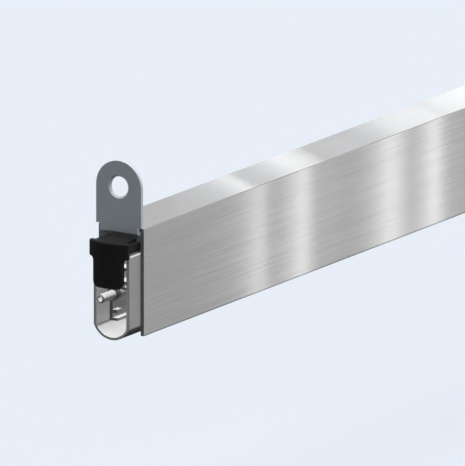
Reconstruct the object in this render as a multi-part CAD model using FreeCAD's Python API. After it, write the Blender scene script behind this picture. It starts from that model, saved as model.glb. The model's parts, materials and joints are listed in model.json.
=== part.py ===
import FreeCAD, Part
import math
import os

# Automatic door bottom seal: an aluminium rail set in a groove under a door. A black trigger at one
# end is pushed in by the door frame, two bell cranks turn and the soft seal drops to the floor.
# Millimetres. X runs along the rail from the trigger end, -Y is the front and +Z is up. The origin
# is the centre of the trigger-end fixing hole, on the lug's back face.

# Rail housing, an extrusion open below
housing_length = 333.0
housing_width = 14.5
housing_height = 30.0
housing_wall = 1.0
housing_top_wall = 0.8
housing_corner_radius = 0.3
upper_rib_thickness = 1.7
upper_rib_reach = 1.45
lower_rib_thickness = 0.5
lower_rib_reach = 0.95
slide_channel_height = 2.5      # between the upper and lower ribs, where the sliding pieces run

# Fixing lugs, bent from steel strip
lug_thickness = 1.0
lug_width = 14.5
lug_hole_diameter = 5.6
lug_countersink = 0.5
lug_hole_height = 11.2          # hole centre above the rail's top face
lug_shoulder_height = 0.45
lug_foot_length = 31.0
lug_end_gap = 0.3               # from a lug's back face to the rail's end, and the bend's inner radius
lug_outer_bend_radius = 0.5
lug_foot_play = 0.2

# Grub screws that jam the lugs and the pivot blocks in the rail
grub_diameter = 3.0
grub_socket = 1.5
grub_socket_depth = 1.2
lug_grub_length = 3.0
lug_grub_inset = 4.5            # from the end of the lug's foot
block_grub_length = 5.0

# Seal and the carrier inside it
seal_side_clearance = 0.45
seal_wall = 1.05
seal_nose_thickness = 0.75
seal_nose_depth = 3.9
seal_stand_down = 1.0           # below the rail when the seal is up
seal_top_gap = 0.6
seal_overhang = 4.9             # past each end of the rail
seal_bead_reach = 0.5
seal_bead_height = 0.6
seal_seat_reach = 0.2
carrier_wall = 0.95
carrier_pin_gap = 2.4           # from the pivot pins down to the carrier's top edge
carrier_setback = 1.5           # behind each end of the rail
carrier_rise = 3.7              # above the seal's lowest line
carrier_floor_thickness = 0.75
carrier_floor_ledge = 1.65      # what a floor notch leaves beside each wall
carrier_floor_notch = 20.0      # open notch in the floor at each end
carrier_lip_reach = 1.4
carrier_lip_thickness = 1.0
carrier_lip_tab = 2.5           # of lip at each end, before the gap where the brackets go in
carrier_lip_gap = 24.0

# Travel and bell cranks
trigger_travel = 5.4
crank_upper_arm = 7.2
crank_lower_arm = 18.0
crank_thickness = 2.0
crank_hub_radius = 3.2
crank_tip_radius = 2.4
crank_pivot_depth = 17.0        # below the rail's top face
front_pivot_inset = 60.0        # from the trigger end of the rail
rear_pivot_inset = 90.0         # from the far end of the rail
pivot_pin_diameter = 3.0
drive_pin_diameter = 2.5

# Clearances
slide_clearance = 0.1
side_clearance = 0.15
running_clearance = 0.05
press_clearance = 0.02
slot_clearance = 0.15
layer_gap = 0.2                 # between flat pieces that slide past each other

# Push bar, stamped from steel strip
bar_thickness = 1.5
bar_height = 5.0
bar_tail = 9.0                  # past the rear crank's pivot
bar_tab_inset = 24.0            # from the rail's end to the front of the tab
bar_tab_height = 5.4
bar_leg_length = 9.0
bar_leg_slant = 3.0

# Pivot blocks, die-cast
block_front_reach = 12.0        # ahead of the pivot
block_cheek_thickness = 1.5
block_cheek_half_length = 5.0
block_cheek_foot = 3.3          # half its length at the bottom
block_guide_rib = 1.6
block_guide_gap = 0.55          # from the guide ribs down to the carrier's lips
block_seat_thickness = 2.0
block_spigot_length = 1.5
guide_pin_setback = 8.0         # ahead of the pivot
guide_pin_diameter = 2.5

# Drop brackets, bent from steel strip
bracket_thickness = 1.15
bracket_base_thickness = 1.1
bracket_base_reach = 5.5        # of the base past the upright, at each side
bracket_slot_margin = 2.1
bracket_top_margin = 1.7
rivet_diameter = 2.0
rivet_inset = 2.5

# Trigger, moulded in black nylon
trigger_nose_reach = 8.0        # past the rail's end
trigger_nose_bulge = 1.5
trigger_head_width = 12.6
trigger_head_height = 4.65
trigger_apron_width = 9.4
trigger_apron_thickness = 1.35
trigger_bottom_depth = 16.0
trigger_corner_radius = 1.8
trigger_shoulder_radius = 0.5
trigger_web_radius = 1.0
trigger_edge_chamfer = 0.35
trigger_slide_length = 14.0     # inside the rail
trigger_top_gap = 1.0           # under the top of the upper ribs
trigger_floor = 1.3             # over the pocket for the slide block
pocket_width = 6.8

# Slide block, die-cast, behind the apron
slide_block_front = 3.7         # ahead of the rail's end
slide_block_back = 8.0
slide_block_width = 2.6
slide_rib_reach = 3.1
slide_rib_thickness = 0.9
slide_rib_depths = (10.55, 14.35)
slide_boss_radius = 1.9
slide_boss_lead = 0.35          # ahead of the rail's end
trigger_pin_diameter = 2.0
trigger_pin_position = 8.0

# Adjusting spindle
spindle_diameter = 2.5
spindle_depth = 19.0
spindle_offset = 1.6            # towards the back of the rail
spindle_reach = 8.3             # past the rail's end
spindle_tail = 14.0             # past the bar's tab
spindle_socket = 1.5
spindle_socket_depth = 3.0
spindle_chamfer = 0.35
collar_diameter = 3.8
collar_thickness = 1.5
clip_diameter = 4.8
clip_thickness = 0.6
clip_mouth = 1.8

# Return spring
spring_wire = 0.5
spring_inner_clearance = 0.15
spring_turns = 8
spring_end_gap = 0.05
spring_turn_facets = 10
wire_facets = 4

# Worked out from the sizes above
rail_front = lug_end_gap
rail_end = rail_front + housing_length
rail_top = -lug_hole_height
inner_half = housing_width / 2 - housing_wall
upper_rib_depth = housing_top_wall + lug_thickness + lug_foot_play
upper_rib_half_gap = inner_half - upper_rib_reach
channel_top_depth = upper_rib_depth + upper_rib_thickness
channel_bottom_depth = channel_top_depth + slide_channel_height
lower_rib_bottom_depth = channel_bottom_depth + lower_rib_thickness
lower_rib_half_gap = inner_half - lower_rib_reach
runner_half = inner_half - side_clearance
runner_top_depth = channel_top_depth + slide_clearance
runner_bottom_depth = channel_bottom_depth - slide_clearance

seal_half = inner_half - seal_side_clearance
seal_inner_half = seal_half - seal_wall
seal_top_depth = lower_rib_bottom_depth + seal_top_gap
seal_bottom_depth = housing_height + seal_stand_down
seal_nose_start = seal_bottom_depth - seal_nose_depth
carrier_bottom_depth = seal_bottom_depth - carrier_rise
carrier_top_depth = crank_pivot_depth + pivot_pin_diameter / 2 + carrier_pin_gap
carrier_inner_half = seal_inner_half - carrier_wall
floor_top_depth = carrier_bottom_depth - carrier_floor_thickness
lip_half_gap = carrier_inner_half - carrier_lip_reach
groove_height = bracket_base_thickness + 2 * slide_clearance
lip_bottom_depth = floor_top_depth - groove_height
lip_top_depth = lip_bottom_depth - carrier_lip_thickness

half_swing = math.asin(trigger_travel / 2 / crank_upper_arm)
pin_rest_rise = crank_upper_arm * math.cos(half_swing)
upper_pin_lag = trigger_travel / 2
lower_pin_rest_reach = crank_lower_arm * math.cos(half_swing)
lower_pin_rest_depth = crank_pivot_depth - crank_lower_arm * math.sin(half_swing)
seal_drop = trigger_travel * crank_lower_arm / crank_upper_arm
bar_mid_depth = crank_pivot_depth - (pin_rest_rise + crank_upper_arm) / 2
bar_inner = crank_thickness / 2 + layer_gap
bar_outer = bar_inner + bar_thickness
bracket_inner = crank_thickness / 2 + side_clearance
bracket_outer = bracket_inner + bracket_thickness
cheek_inner = bar_outer + 2 * side_clearance
cheek_outer = cheek_inner + block_cheek_thickness
front_pivot = rail_front + front_pivot_inset
rear_pivot = rail_end - rear_pivot_inset
spindle_radius = spindle_diameter / 2
tab_front = rail_front + bar_tab_inset
tab_back = tab_front + bar_thickness
spring_radius = spindle_radius + spring_inner_clearance + spring_wire / 2
seat_front = front_pivot - block_front_reach
bead_top_depth = carrier_top_depth - seal_bead_height
block_bottom_depth = bead_top_depth - side_clearance
slide_block_bottom = spindle_depth - collar_diameter / 2 - layer_gap
drive_slot_half = drive_pin_diameter / 2 + slot_clearance
trigger_shoulder_thickness = trigger_nose_reach - trigger_nose_bulge - trigger_travel - slide_clearance


def height(depth):
    """Height of a level given by its depth below the rail's top face."""
    return rail_top - depth


def box(x0, x1, y0, y1, depth0, depth1):
    corner = FreeCAD.Vector(x0, y0, height(depth1))
    return Part.makeBox(x1 - x0, y1 - y0, depth1 - depth0, corner)


def rod_x(radius, x0, x1, y, depth):
    return Part.makeCylinder(radius, x1 - x0, FreeCAD.Vector(x0, y, height(depth)), FreeCAD.Vector(1, 0, 0))


def rod_y(radius, x, depth, y0, y1):
    return Part.makeCylinder(radius, y1 - y0, FreeCAD.Vector(x, y0, height(depth)), FreeCAD.Vector(0, 1, 0))


def rod_z(radius, x, y, depth0, depth1):
    return Part.makeCylinder(radius, depth1 - depth0, FreeCAD.Vector(x, y, height(depth1)))


def hexagon_x(across_flats, x0, x1, y, depth):
    radius = across_flats / math.sqrt(3)
    corners = [(y + radius * math.cos(math.radians(60 * i)), depth + radius * math.sin(math.radians(60 * i)), 0)
               for i in range(6)]
    return slab_x(corners, x0, x1)


def hexagon_z(across_flats, x, y, depth0, depth1):
    radius = across_flats / math.sqrt(3)
    points = [FreeCAD.Vector(x + radius * math.cos(math.radians(60 * i)),
                             y + radius * math.sin(math.radians(60 * i)), height(depth1)) for i in range(7)]
    face = Part.Face(Part.makePolygon(points))
    return face.extrude(FreeCAD.Vector(0, 0, depth1 - depth0))


def rounded_face(corners, place):
    """Face inside a closed outline. Each corner is (a, b, radius); place turns a, b into a point."""
    starts = []
    ends = []
    edges = []
    count = len(corners)
    for i, (a, b, radius) in enumerate(corners):
        here = FreeCAD.Vector(a, b, 0)
        before = FreeCAD.Vector(*corners[i - 1][:2], 0) - here
        after = FreeCAD.Vector(*corners[(i + 1) % count][:2], 0) - here
        before.normalize()
        after.normalize()
        if radius == 0:
            starts.append(here)
            ends.append(here)
            continue
        half_angle = before.getAngle(after) / 2
        reach = radius / math.tan(half_angle)
        middle_way = before + after
        middle_way.normalize()
        centre = here + middle_way * (radius / math.sin(half_angle))
        starts.append(here + before * reach)
        ends.append(here + after * reach)
        middle = centre - middle_way * radius
        edges.append(Part.Arc(place(starts[i]), place(middle), place(ends[i])).toShape())
    for i in range(count):
        following = starts[(i + 1) % count]
        if (following - ends[i]).Length > 1e-6:
            edges.append(Part.makeLine(place(ends[i]), place(following)))
    return Part.Face(Part.Wire(Part.__sortEdges__(edges)))


def slab_x(corners, x0, x1):
    """Outline of (y, depth, radius) corners, extruded along the rail."""
    face = rounded_face(corners, lambda p: FreeCAD.Vector(x0, p.x, height(p.y)))
    return face.extrude(FreeCAD.Vector(x1 - x0, 0, 0))


def slab_y(corners, y0, y1):
    """Outline of (x, depth, radius) corners, extruded across the rail."""
    face = rounded_face(corners, lambda p: FreeCAD.Vector(p.x, y0, height(p.y)))
    return face.extrude(FreeCAD.Vector(0, y1 - y0, 0))


def mirrored_outline(half):
    """Whole outline from its +Y half, listed from the centre line round to the centre line."""
    return half + [(-y, depth, radius) for y, depth, radius in reversed(half)]


def slot_y(x0, depth0, x1, depth1, radius, y0, y1):
    """Round-ended slot cutter between two points, along Y."""
    ends = rod_y(radius, x0, depth0, y0, y1).fuse(rod_y(radius, x1, depth1, y0, y1))
    if x0 == x1:
        middle = box(x0 - radius, x0 + radius, y0, y1, min(depth0, depth1), max(depth0, depth1))
    else:
        middle = box(min(x0, x1), max(x0, x1), y0, y1, depth0 - radius, depth0 + radius)
    return ends.fuse(middle)


def tapered_arm(x0, depth0, radius0, x1, depth1, radius1, y0, y1):
    """Link with round ends of two sizes, joined by their common tangents."""
    way = math.atan2(depth1 - depth0, x1 - x0)
    length = math.hypot(x1 - x0, depth1 - depth0)
    lean = math.acos((radius0 - radius1) / length)
    corners = []
    for turn, first in ((lean, True), (-lean, False)):
        near = (x0 + radius0 * math.cos(way + turn), depth0 + radius0 * math.sin(way + turn), 0)
        far = (x1 + radius1 * math.cos(way + turn), depth1 + radius1 * math.sin(way + turn), 0)
        corners += [near, far] if first else [far, near]
    web = slab_y(corners, y0, y1)
    return web.fuse([rod_y(radius0, x0, depth0, y0, y1), rod_y(radius1, x1, depth1, y0, y1)]).removeSplitter()


def edges_where(shape, test):
    return [edge for edge in shape.Edges if test(edge)]


def at_far_end(shape):
    """The same piece turned round for the far end of the rail."""
    middle = FreeCAD.Vector((rail_front + rail_end) / 2, 0, 0)
    turned = shape.copy()
    turned.rotate(middle, FreeCAD.Vector(0, 0, 1), 180)
    return turned


def housing():
    outer = housing_width / 2
    half = [
        (outer, 0, housing_corner_radius),
        (outer, housing_height, 0),
        (inner_half, housing_height, 0),
        (inner_half, lower_rib_bottom_depth, 0),
        (lower_rib_half_gap, lower_rib_bottom_depth, 0),
        (lower_rib_half_gap, channel_bottom_depth, 0),
        (inner_half, channel_bottom_depth, 0),
        (inner_half, channel_top_depth, 0),
        (upper_rib_half_gap, channel_top_depth, 0),
        (upper_rib_half_gap, upper_rib_depth, 0),
        (inner_half, upper_rib_depth, 0),
        (inner_half, housing_top_wall, 0),
    ]
    return slab_x(mirrored_outline(half), rail_front, rail_end)


def fixing_lug():
    hole_depth = -lug_hole_height
    radius = lug_width / 2
    shoulder_depth = -lug_shoulder_height
    foot_top = housing_top_wall
    foot_bottom = housing_top_wall + lug_thickness
    plate = slab_x([
        (radius, hole_depth - radius, radius),
        (radius, shoulder_depth, 0),
        (runner_half, shoulder_depth, 0),
        (runner_half, foot_bottom, 0),
        (-runner_half, foot_bottom, 0),
        (-runner_half, shoulder_depth, 0),
        (-radius, shoulder_depth, 0),
        (-radius, hole_depth - radius, radius),
    ], -lug_thickness, lug_foot_length)
    side = slab_y([
        (-lug_thickness, hole_depth - radius, 0),
        (0, hole_depth - radius, 0),
        (0, foot_top, lug_end_gap),
        (lug_foot_length, foot_top, 0),
        (lug_foot_length, foot_bottom, 0),
        (-lug_thickness, foot_bottom, lug_outer_bend_radius),
    ], -radius, radius)
    lug = plate.common(side)
    hole = rod_x(lug_hole_diameter / 2, -lug_thickness, 0, 0, hole_depth)
    grub_hole = rod_z(grub_diameter / 2 + press_clearance, lug_foot_length - lug_grub_inset, 0,
                      foot_top, foot_bottom)
    rim = lug_hole_diameter / 2 + lug_countersink
    cone = Part.makeCone(rim, lug_hole_diameter / 2, lug_countersink,
                         FreeCAD.Vector(-lug_thickness, 0, height(hole_depth)), FreeCAD.Vector(1, 0, 0))
    return lug.cut([hole, cone, grub_hole])


def grub_screw(x, y, top_depth, length):
    """Cup-point set screw with its hexagon socket facing down."""
    bottom_depth = top_depth + length
    screw = rod_z(grub_diameter / 2, x, y, top_depth, bottom_depth)
    socket = hexagon_z(grub_socket, x, y, bottom_depth - grub_socket_depth, bottom_depth)
    return screw.cut(socket)


def lug_screws():
    screw = grub_screw(lug_foot_length - lug_grub_inset, 0, housing_top_wall, lug_grub_length)
    return Part.makeCompound([screw, at_far_end(screw)])


def block_screws():
    screws = [grub_screw(block_screw_x(pivot), 0, housing_top_wall, block_grub_length)
              for pivot in (front_pivot, rear_pivot)]
    return Part.makeCompound(screws)


def block_screw_x(pivot):
    return pivot + crank_hub_radius + grub_diameter


def seal():
    nose_radius = (seal_half ** 2 + seal_nose_depth ** 2) / (2 * seal_nose_depth)
    centre_depth = seal_bottom_depth - nose_radius
    start = rail_front - seal_overhang
    end = rail_end + seal_overhang
    outside = box(start, end, -seal_half, seal_half, seal_top_depth, seal_nose_start)
    nose = rod_x(nose_radius, start, end, 0, centre_depth)
    below = box(start, end, -seal_half, seal_half, seal_nose_start, seal_bottom_depth)
    body = outside.fuse(nose.common(below))
    hollow_nose = rod_x(nose_radius - seal_nose_thickness, start, end, 0, centre_depth)
    hollow = box(start, end, -seal_inner_half, seal_inner_half, seal_top_depth, carrier_bottom_depth)
    seat_half = seal_inner_half - seal_seat_reach
    hollow_below = box(start, end, -seat_half, seat_half, carrier_bottom_depth, seal_bottom_depth)
    body = body.cut([hollow, hollow_nose.common(hollow_below)])
    bead_half = seal_inner_half - seal_bead_reach
    for side in (1, -1):
        bead = slab_x([
            (side * seal_inner_half, bead_top_depth, 0),
            (side * bead_half, bead_top_depth + seal_bead_height / 2, 0),
            (side * bead_half, carrier_top_depth, 0),
            (side * seal_inner_half, carrier_top_depth, 0),
        ], rail_front + carrier_setback, rail_end - carrier_setback)
        body = body.fuse(bead)
    return body.removeSplitter()


def seal_carrier():
    half = [
        (seal_inner_half, carrier_top_depth, 0),
        (seal_inner_half, carrier_bottom_depth, 0),
    ]
    half_inside = [
        (carrier_inner_half, floor_top_depth, 0),
        (carrier_inner_half, lip_bottom_depth, 0),
        (lip_half_gap, lip_bottom_depth, 0),
        (lip_half_gap, lip_top_depth, 0),
        (carrier_inner_half, lip_top_depth, 0),
        (carrier_inner_half, carrier_top_depth, 0),
    ]
    outline = half + [(-y, depth, r) for y, depth, r in reversed(half)]
    outline += [(-y, depth, r) for y, depth, r in reversed(half_inside)] + half_inside
    start = rail_front + carrier_setback
    end = rail_end - carrier_setback
    carrier = slab_x(outline, start, end)
    ledge_half = carrier_inner_half - carrier_floor_ledge
    cutters = []
    for floor_start, lip_start in (
            (start, start + carrier_lip_tab),
            (end - carrier_floor_notch, end - carrier_lip_tab - carrier_lip_gap)):
        cutters.append(box(floor_start, floor_start + carrier_floor_notch, -ledge_half, ledge_half,
                           floor_top_depth, carrier_bottom_depth))
        for side in (1, -1):
            y0, y1 = sorted((side * lip_half_gap, side * carrier_inner_half))
            cutters.append(box(lip_start, lip_start + carrier_lip_gap, y0, y1,
                               lip_top_depth, lip_bottom_depth))
    for pivot in (front_pivot, rear_pivot):
        cutters.append(rod_z(rivet_diameter / 2 + press_clearance, rivet_x(pivot), 0,
                             floor_top_depth, carrier_bottom_depth))
    return carrier.cut(cutters)


def push_bar():
    top = bar_mid_depth - bar_height / 2
    bottom = bar_mid_depth + bar_height / 2
    leg_bottom = spindle_depth + bar_tab_height / 2
    leg_back = tab_front + bar_leg_length
    outline = [
        (tab_front, top, 0),
        (rear_pivot + bar_tail, top, 0),
        (rear_pivot + bar_tail, bottom, 0),
        (leg_back + bar_leg_slant, bottom, 0),
        (leg_back, leg_bottom, 0),
        (tab_front, leg_bottom, 0),
    ]
    bar = slab_y(outline, -bar_outer, -bar_inner)
    tab_edge = spindle_offset + spindle_radius + bar_thickness / 2
    tab = slab_x([
        (-bar_outer, spindle_depth - bar_tab_height / 2, 0),
        (tab_edge, spindle_depth - bar_tab_height / 2, 0),
        (tab_edge, leg_bottom, 0),
        (-bar_outer, leg_bottom, 0),
    ], tab_front, tab_back)
    bar = bar.fuse(tab)
    cutters = [rod_x(spindle_radius + running_clearance, tab_front, tab_back, spindle_offset, spindle_depth)]
    for pivot in (front_pivot, rear_pivot):
        pin_x = pivot - upper_pin_lag
        low = crank_pivot_depth - pin_rest_rise
        high = crank_pivot_depth - crank_upper_arm
        cutters.append(slot_y(pin_x, high, pin_x, low, drive_slot_half, -bar_outer, -bar_inner))
        guide_x = pivot - guide_pin_setback
        guide_half = guide_pin_diameter / 2 + running_clearance
        cutters.append(slot_y(guide_x - trigger_travel, bar_mid_depth, guide_x, bar_mid_depth,
                              guide_half, -bar_outer, -bar_inner))
    return bar.cut(cutters).removeSplitter()


def crank(pivot):
    half_thickness = crank_thickness / 2
    upper_x = pivot - upper_pin_lag
    upper_depth = crank_pivot_depth - pin_rest_rise
    lower_x = pivot + lower_pin_rest_reach
    arms = [
        tapered_arm(pivot, crank_pivot_depth, crank_hub_radius, upper_x, upper_depth, crank_tip_radius,
                    -half_thickness, half_thickness),
        tapered_arm(pivot, crank_pivot_depth, crank_hub_radius, lower_x, lower_pin_rest_depth,
                    crank_tip_radius, -half_thickness, half_thickness),
    ]
    boss_half = cheek_inner - side_clearance
    boss = rod_y(crank_hub_radius, pivot, crank_pivot_depth, -boss_half, boss_half)
    body = arms[0].fuse([arms[1], boss])
    holes = [
        rod_y(pivot_pin_diameter / 2 + running_clearance, pivot, crank_pivot_depth, -boss_half, boss_half),
        rod_y(drive_pin_diameter / 2 + press_clearance, upper_x, upper_depth, -half_thickness, half_thickness),
        rod_y(drive_pin_diameter / 2 + press_clearance, lower_x, lower_pin_rest_depth,
              -half_thickness, half_thickness),
    ]
    return body.cut(holes).removeSplitter()


def crank_pins(pivot):
    half_thickness = crank_thickness / 2
    radius = drive_pin_diameter / 2
    upper = rod_y(radius, pivot - upper_pin_lag, crank_pivot_depth - pin_rest_rise,
                  -bar_outer - side_clearance, half_thickness)
    lower = rod_y(radius, pivot + lower_pin_rest_reach, lower_pin_rest_depth,
                  -half_thickness, bracket_outer + side_clearance)
    return Part.makeCompound([upper, lower])


def pivot_pins():
    pins = [rod_y(pivot_pin_diameter / 2, pivot, crank_pivot_depth, -cheek_outer, cheek_outer)
            for pivot in (front_pivot, rear_pivot)]
    return Part.makeCompound(pins)


def upright_span(pivot):
    """Ends along X of a drop bracket's upright, round the path of the crank's pin."""
    front = pivot + lower_pin_rest_reach - drive_slot_half - bracket_slot_margin
    back = pivot + crank_lower_arm + drive_slot_half + bracket_slot_margin
    return front, back


def pivot_block(pivot):
    upright_front, upright_back = upright_span(pivot)
    rib_front = upright_front - slide_clearance - block_guide_rib
    rib_back = upright_back + slide_clearance + block_guide_rib
    front = pivot - block_front_reach
    top = runner_top_depth
    bottom = runner_bottom_depth
    head = box(front, rib_back, -runner_half, runner_half, top, bottom)
    pieces = []
    for side in (1, -1):
        y0, y1 = sorted((side * cheek_inner, side * cheek_outer))
        pieces.append(slab_y([
            (pivot - block_cheek_half_length, bottom, 0),
            (pivot + block_cheek_half_length, bottom, 0),
            (pivot + block_cheek_foot, block_bottom_depth, 0),
            (pivot - block_cheek_foot, block_bottom_depth, 0),
        ], y0, y1))
    guide_reach = guide_pin_setback + guide_pin_diameter
    pieces.append(box(pivot - guide_reach, pivot, -cheek_outer, -cheek_inner,
                      bottom, bar_mid_depth + bar_height / 2))
    pieces.append(box(rib_front, rib_back, cheek_inner, cheek_outer, bottom, block_bottom_depth))
    rib_outer = carrier_inner_half - 2 * side_clearance
    for start in (rib_front, upright_back + slide_clearance):
        rib_bottom = lip_top_depth - block_guide_gap
        pieces.append(box(start, start + block_guide_rib, bracket_inner, cheek_outer,
                          bottom, block_bottom_depth))
        pieces.append(box(start, start + block_guide_rib, bracket_inner, rib_outer,
                          bottom, rib_bottom))
    seat_back = front + block_seat_thickness
    seat_side = spindle_offset + spring_radius
    pieces.append(box(front, seat_back, -bar_inner + layer_gap, seat_side,
                      bottom, spindle_depth + spring_radius))
    brace = slab_y([
        (seat_back, bottom, 0),
        (seat_back + bar_height, bottom, 0),
        (seat_back, spindle_depth, 0),
    ], spindle_offset - crank_thickness / 2, spindle_offset + crank_thickness / 2)
    pieces.append(brace)
    body = head.fuse(pieces)
    cutters = [
        rod_y(pivot_pin_diameter / 2 + press_clearance, pivot, crank_pivot_depth, -cheek_outer, cheek_outer),
        rod_y(guide_pin_diameter / 2 + press_clearance, pivot - guide_pin_setback, bar_mid_depth,
              -cheek_outer, -cheek_inner),
        rod_z(grub_diameter / 2 + press_clearance, block_screw_x(pivot), 0, top, bottom),
    ]
    return body.cut(cutters).removeSplitter()


def bar_guide_pins():
    pins = [rod_y(guide_pin_diameter / 2, pivot - guide_pin_setback, bar_mid_depth,
                  -cheek_outer, -bar_inner + layer_gap)
            for pivot in (front_pivot, rear_pivot)]
    return Part.makeCompound(pins)


def drop_bracket(pivot):
    upright_front, upright_back = upright_span(pivot)
    base_top = lip_bottom_depth + slide_clearance
    base_bottom = base_top + bracket_base_thickness
    base_half = carrier_inner_half - slide_clearance
    top = lower_pin_rest_depth - drive_slot_half - bracket_top_margin
    base = box(upright_front - bracket_base_reach, upright_back + bracket_base_reach,
               -base_half, base_half, base_top, base_bottom)
    upright = box(upright_front, upright_back, bracket_inner, bracket_outer, top, base_top)
    slot = slot_y(pivot + lower_pin_rest_reach, lower_pin_rest_depth, pivot + crank_lower_arm,
                  lower_pin_rest_depth, drive_slot_half, bracket_inner, bracket_outer)
    hole = rod_z(rivet_diameter / 2 + press_clearance, rivet_x(pivot), 0, base_top, base_bottom)
    return base.fuse(upright).cut([slot, hole]).removeSplitter()


def rivet_x(pivot):
    return upright_span(pivot)[1] + bracket_base_reach - rivet_inset


def bracket_rivets():
    base_top = lip_bottom_depth + slide_clearance
    rivets = [rod_z(rivet_diameter / 2, rivet_x(pivot), 0, base_top, carrier_bottom_depth)
              for pivot in (front_pivot, rear_pivot)]
    return Part.makeCompound(rivets)


def trigger():
    nose = rail_front - trigger_nose_reach
    head_half = trigger_head_width / 2
    bulge_radius = (head_half ** 2 + trigger_nose_bulge ** 2) / (2 * trigger_nose_bulge)
    centre = nose + bulge_radius
    shoulder_back = nose + trigger_nose_bulge + trigger_shoulder_thickness
    top = upper_rib_depth + trigger_top_gap
    shoulder_bottom = top + trigger_head_height
    apron_half = trigger_apron_width / 2
    outline = slab_x([
        (head_half, top, trigger_shoulder_radius),
        (head_half, shoulder_bottom, trigger_shoulder_radius),
        (apron_half, shoulder_bottom, trigger_web_radius),
        (apron_half, trigger_bottom_depth, trigger_corner_radius),
        (-apron_half, trigger_bottom_depth, trigger_corner_radius),
        (-apron_half, shoulder_bottom, trigger_web_radius),
        (-head_half, shoulder_bottom, trigger_shoulder_radius),
        (-head_half, top, trigger_shoulder_radius),
    ], nose - trigger_nose_bulge, shoulder_back)
    curve = rod_z(bulge_radius, centre, 0, top, trigger_bottom_depth)
    head = outline.common(curve)
    front_edges = edges_where(head, lambda e: all(
        math.hypot(v.X - centre, v.Y) > bulge_radius - trigger_edge_chamfer / 2 for v in e.Vertexes))
    head = head.makeChamfer(trigger_edge_chamfer, front_edges)
    behind = rod_z(bulge_radius - trigger_apron_thickness, centre, 0,
                   shoulder_bottom, trigger_bottom_depth)
    head = head.cut(behind)
    end = rail_front + trigger_slide_length
    raised_half = upper_rib_half_gap - side_clearance / 2
    runner = box(shoulder_back, end, -runner_half, runner_half, runner_top_depth, runner_bottom_depth)
    raised = box(shoulder_back, end, -raised_half, raised_half, top, runner_bottom_depth)
    body = head.fuse([runner, raised])
    pocket = box(rail_front - slide_block_front, end - trigger_floor, -pocket_width / 2, pocket_width / 2,
                 top + trigger_floor, runner_bottom_depth)
    pin_hole = rod_y(trigger_pin_diameter / 2 + press_clearance, rail_front + trigger_pin_position,
                     pin_depth(), -runner_half, runner_half)
    return body.cut([pocket, pin_hole]).removeSplitter()


def pin_depth():
    return (runner_top_depth + runner_bottom_depth) / 2


def slide_block():
    front = rail_front - slide_block_front + slide_clearance
    back = rail_front + slide_block_back
    top = upper_rib_depth + trigger_top_gap + trigger_floor + slide_clearance
    tongue_half = pocket_width / 2 - slide_clearance
    tongue = box(front, back + trigger_pin_diameter, -tongue_half, tongue_half, top,
                 runner_bottom_depth + slide_clearance)
    core = box(front, back, -slide_block_width / 2, slide_block_width / 2,
               runner_bottom_depth + slide_clearance, slide_block_bottom)
    rib_half = slide_block_width / 2 + slide_rib_reach
    ribs = [box(front, back, -rib_half, rib_half, depth, depth + slide_rib_thickness)
            for depth in slide_rib_depths]
    boss_front = rail_front - slide_boss_lead
    foot = box(boss_front, back, -rib_half, rib_half,
               slide_block_bottom, slide_block_bottom + slide_rib_thickness)
    boss = rod_x(slide_boss_radius, boss_front, back, spindle_offset, spindle_depth)
    web = box(boss_front + slide_boss_radius, back, spindle_offset - slide_block_width / 2,
              spindle_offset + slide_block_width / 2, slide_block_bottom, spindle_depth)
    body = tongue.fuse([core, foot, boss, web] + ribs)
    bore = rod_x(spindle_radius + running_clearance, boss_front, back, spindle_offset, spindle_depth)
    pin_hole = rod_y(trigger_pin_diameter / 2 + press_clearance, rail_front + trigger_pin_position,
                     pin_depth(), -tongue_half, tongue_half)
    return body.cut([bore, pin_hole]).removeSplitter()


def trigger_pin():
    return rod_y(trigger_pin_diameter / 2, rail_front + trigger_pin_position, pin_depth(),
                 -runner_half + side_clearance, runner_half - side_clearance)


def adjusting_spindle():
    front = rail_front - spindle_reach
    back = tab_back + spindle_tail
    spindle = rod_x(spindle_radius, front, back, spindle_offset, spindle_depth)
    ends = edges_where(spindle, lambda e: len(e.Vertexes) == 1)
    spindle = spindle.makeChamfer(spindle_chamfer, ends)
    socket = hexagon_x(spindle_socket, front, front + spindle_socket_depth, spindle_offset, spindle_depth)
    return spindle.cut(socket)


def spindle_collar():
    back = rail_front - slide_boss_lead - running_clearance
    front = back - collar_thickness
    disc = rod_x(collar_diameter / 2, front, back, spindle_offset, spindle_depth)
    bore = rod_x(spindle_radius + press_clearance, front, back, spindle_offset, spindle_depth)
    return disc.cut(bore)


def spindle_clip():
    front = rail_front + slide_block_back + running_clearance
    back = front + clip_thickness
    disc = rod_x(clip_diameter / 2, front, back, spindle_offset, spindle_depth)
    bore = rod_x(spindle_radius + press_clearance, front, back, spindle_offset, spindle_depth)
    mouth = box(front, back, spindle_offset - clip_mouth / 2, spindle_offset + clip_mouth / 2,
                spindle_depth, spindle_depth + clip_diameter)
    return disc.cut([bore, mouth])


def return_spring():
    """Coil of straight facets round the spindle, from the bar's tab to the front block."""
    start = tab_back + spring_end_gap + spring_wire / 2
    end = seat_front - spring_end_gap - spring_wire / 2
    steps = spring_turns * spring_turn_facets
    sections = []
    for step in range(steps + 1):
        turn = math.radians(360 * step / spring_turn_facets)
        x = start + (end - start) * step / steps
        corners = []
        for side in range(wire_facets + 1):
            lean = math.radians(360 * side / wire_facets)
            radius = spring_radius + spring_wire / 2 * math.cos(lean)
            corners.append(FreeCAD.Vector(x + spring_wire / 2 * math.sin(lean),
                                          spindle_offset + radius * math.cos(turn),
                                          height(spindle_depth) + radius * math.sin(turn)))
        sections.append(Part.makePolygon(corners))
    return Part.makeLoft(sections, True, True)


def save(name, shape):
    shape.exportStep("parts/" + name + ".step")
    print(name, len(shape.Solids), round(shape.Volume, 1), shape.isValid())


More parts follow.
